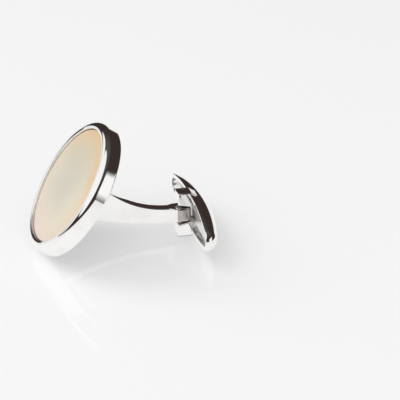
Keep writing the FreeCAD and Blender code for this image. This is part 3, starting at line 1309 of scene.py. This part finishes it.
    def build(self, shop: Workshop, plate: bpy.types.Material, hollow: bpy.types.Material,
              pin: bpy.types.Material, spring: bpy.types.Material) -> None:
        """Makes and dresses the pieces of the toggle.

        Args:
            shop: Where the pieces are made.
            plate: The polished plating.
            hollow: The satin finish inside.
            pin: The finish of the pin.
            spring: The finish of the leaf.
        """
        stand = self.hinge.stand(shop.frame)
        body = Body.TOGGLE
        shop.piece(self.shell_mesh(), stand, body, "toggle_shell", [plate, hollow])
        shop.piece(self.pin_mesh(), stand, body, "pivot_pin", [pin])
        shop.piece(self.spring_mesh(), stand, body, "click_spring", [spring])


@dataclass(frozen=True)
class Panel:
    """A soft-edged round panel in the room: the way to it, and the cosines at its edge and inside."""

    aim: Triple
    low: float
    high: float

    def mask(self, board: Board, way: Wire) -> Wire:
        """Draws the panel.

        Args:
            board: The world's board.
            way: The way that is looked.

        Returns:
            1 on the panel and 0 off it.
        """
        inputs = {0: way, 1: tuple(Vector(self.aim).normalized())}
        facing = board.add("ShaderNodeVectorMath", {"operation": "DOT_PRODUCT"}, inputs, "Value")
        return board.step(facing, self.low, self.high)


@dataclass
class Studio:
    """The pale glossy table, soft light, dark room in the reflections, and the camera."""

    pale: float = 0.888
    fill: Panel = Panel((-0.52, -0.45, 0.72), -0.6, 1.0)
    fill_levels: Pair = (0.11, 1.22)
    key_power: float = 2.2
    key_place: Triple = (-0.46, 0.40, 0.52)
    key_size: float = 0.5
    table_rings: tuple[float, ...] = (0.0, 60.0, 300.0, 900.0)
    table_bevel: float = 2.0
    table_depth: float = 20.0
    camera_place: Triple = (-0.05127, -0.25295, 0.13057)
    camera_target: Triple = (0.01316, 0.00935, 0.0)
    camera_near: float = 0.01
    lens: float = 194.7
    room: Colour = (0.042, 0.029, 0.026)
    ceiling: Colour = (0.088, 0.082, 0.08)
    ceiling_span: Pair = (0.5, 1.0)
    window: Colour = (1.0, 1.0, 1.0)
    horizon: Pair = (0.0, 0.03)
    overhead: Panel = Panel((-0.55, -0.20, 0.81), 0.74, 0.80)
    side_board: Panel = Panel((-0.679, 0.611, 0.407), 0.90, 0.94)
    low_board: Panel = Panel((-0.35, -0.75, 0.56), 0.16, 0.24)
    board_top: Panel = Panel((-0.516, 0.0625, 0.854), -0.05, 0.0)
    doorway: Pair = (0.80, 0.92)
    lintel: Pair = (0.36, 0.46)

    def build(self) -> None:
        """Sets the table, the light, the room and the camera."""
        self._table()
        self._key()
        self._room()
        self._camera()
        bpy.context.scene.view_settings.view_transform = "Standard"

    @staticmethod
    def _hang(item: bpy.types.Object, place: Triple, target: Triple) -> None:
        """Puts a lamp or a camera in its place.

        Args:
            item: The lamp or the camera.
            place: Where it hangs.
            target: What it looks at.
        """
        item.location = place
        item.rotation_mode = "QUATERNION"
        item.rotation_quaternion = (Vector(target) - Vector(place)).to_track_quat("-Z", "Y")
        bpy.context.scene.collection.objects.link(item)

    def _table(self) -> None:
        """Lays a wide round table top whose face is at height 0."""
        edge = self.table_rings[-1] + self.table_bevel
        profile = [(r, 0.0) for r in self.table_rings]
        profile += [(edge, -self.table_bevel), (edge, -self.table_depth)]
        mesh = Shape().turned(profile, segments=96).mesh("table")
        mesh.materials.append(GlossTable().material())
        table = bpy.data.objects.new("table_top", mesh)
        bpy.context.scene.collection.objects.link(table)

    def _key(self) -> None:
        """Hangs a large soft lamp above, to the left and behind."""
        data = bpy.data.lights.new("key", "AREA")
        data.shape = "SQUARE"
        data.size = self.key_size
        data.energy = self.key_power
        lamp = bpy.data.objects.new("key", data)
        lamp.visible_glossy = False
        self._hang(lamp, self.key_place, (0.0, 0.0, 0.0))

    def _room(self) -> None:
        """Fills the world: soft light on matt faces, and a dark room with panels in polished ones."""
        world = bpy.data.worlds.new("room")
        world.use_nodes = True
        bpy.context.scene.world = world
        board = Board(world.node_tree)
        way = board.add("ShaderNodeTexCoord", {}, {}, "Generated")
        ahead, height = board.axes(way, "YZ")
        low = self.low_board.mask(board, way) * (1.0 - self.board_top.mask(board, way))
        bright = board.math("MAXIMUM", board.step(0.0 - height, *self.horizon), low)
        for panel in (self.overhead, self.side_board):
            bright = board.math("MAXIMUM", bright, panel.mask(board, way))
        walls = board.mix(board.step(height, *self.ceiling_span), self.room, self.ceiling)
        door = board.step(0.0 - ahead, *self.doorway) * (1.0 - board.step(height, *self.lintel))
        seen = board.mix(bright * (1.0 - door), walls, self.window)
        polished, camera, matt = board.rays("Is Glossy Ray", "Is Camera Ray", "Diffuse Depth")
        dim, full = [(level,) * 3 for level in self.fill_levels]
        light = board.mix(self.fill.mask(board, way), dim, full)
        light = board.mix(polished - matt, light, seen)
        light = board.mix(camera, light, (self.pale,) * 3)
        board.close(board.add("ShaderNodeBackground", {}, {"Color": light}), "ShaderNodeOutputWorld")

    def _camera(self) -> None:
        """Stands the camera where the photograph was taken from."""
        data = bpy.data.cameras.new("camera")
        data.lens = self.lens
        data.clip_start = self.camera_near
        camera = bpy.data.objects.new("camera", data)
        self._hang(camera, self.camera_place, self.camera_target)
        bpy.context.scene.camera = camera


def main() -> None:
    """Builds the pieces in order and sets the stage."""
    logging.basicConfig(level=logging.INFO, format="%(name)s: %(message)s")
    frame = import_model()
    shop = Workshop(frame)
    plate = PolishedPlate().material()
    head = Head()
    clean = PolishedPlate("clean_head_plate", corner_shade_reach=0.12)
    head.build(shop, clean.material(), Nacre(head.inlay_radius).material(), CuredGlue().material())
    # The knuckle's plating is a darker copy of the polished plate: painted shade from the slot that it
    # turns in. Its greater roughness is its own.
    dull_and_shaded = PolishedPlate("shaded_knuckle", bright=(0.56, 0.53, 0.51), warm=(0.42, 0.395, 0.38),
                         gloss=0.12, corner_shade_reach=0.6, corner_shade_span=(0.15, 0.5))
    Arm().build(shop, head.stand(frame["record"]), plate, dull_and_shaded.material())
    pin = BrushedSteel("turned_pin", Brush.ROUND_PIN, bright=(0.80, 0.80, 0.80),
                       dark=(0.68, 0.68, 0.68), gloss=0.01, grain=0.03, groove=0.03)
    leaf = BrushedSteel("rolled_leaf", Brush.ALONG_LEAF, bright=(0.90, 0.895, 0.89),
                        dark=(0.76, 0.755, 0.75), gloss=0.2)
    Toggle().build(shop, plate, SatinHollow().material(), pin.material(), leaf.material())
    Studio().build()
    bpy.context.view_layer.update()
    LOG.info("%d pieces dressed", len(shop.dressed))


if __name__ == "__main__":
    main()
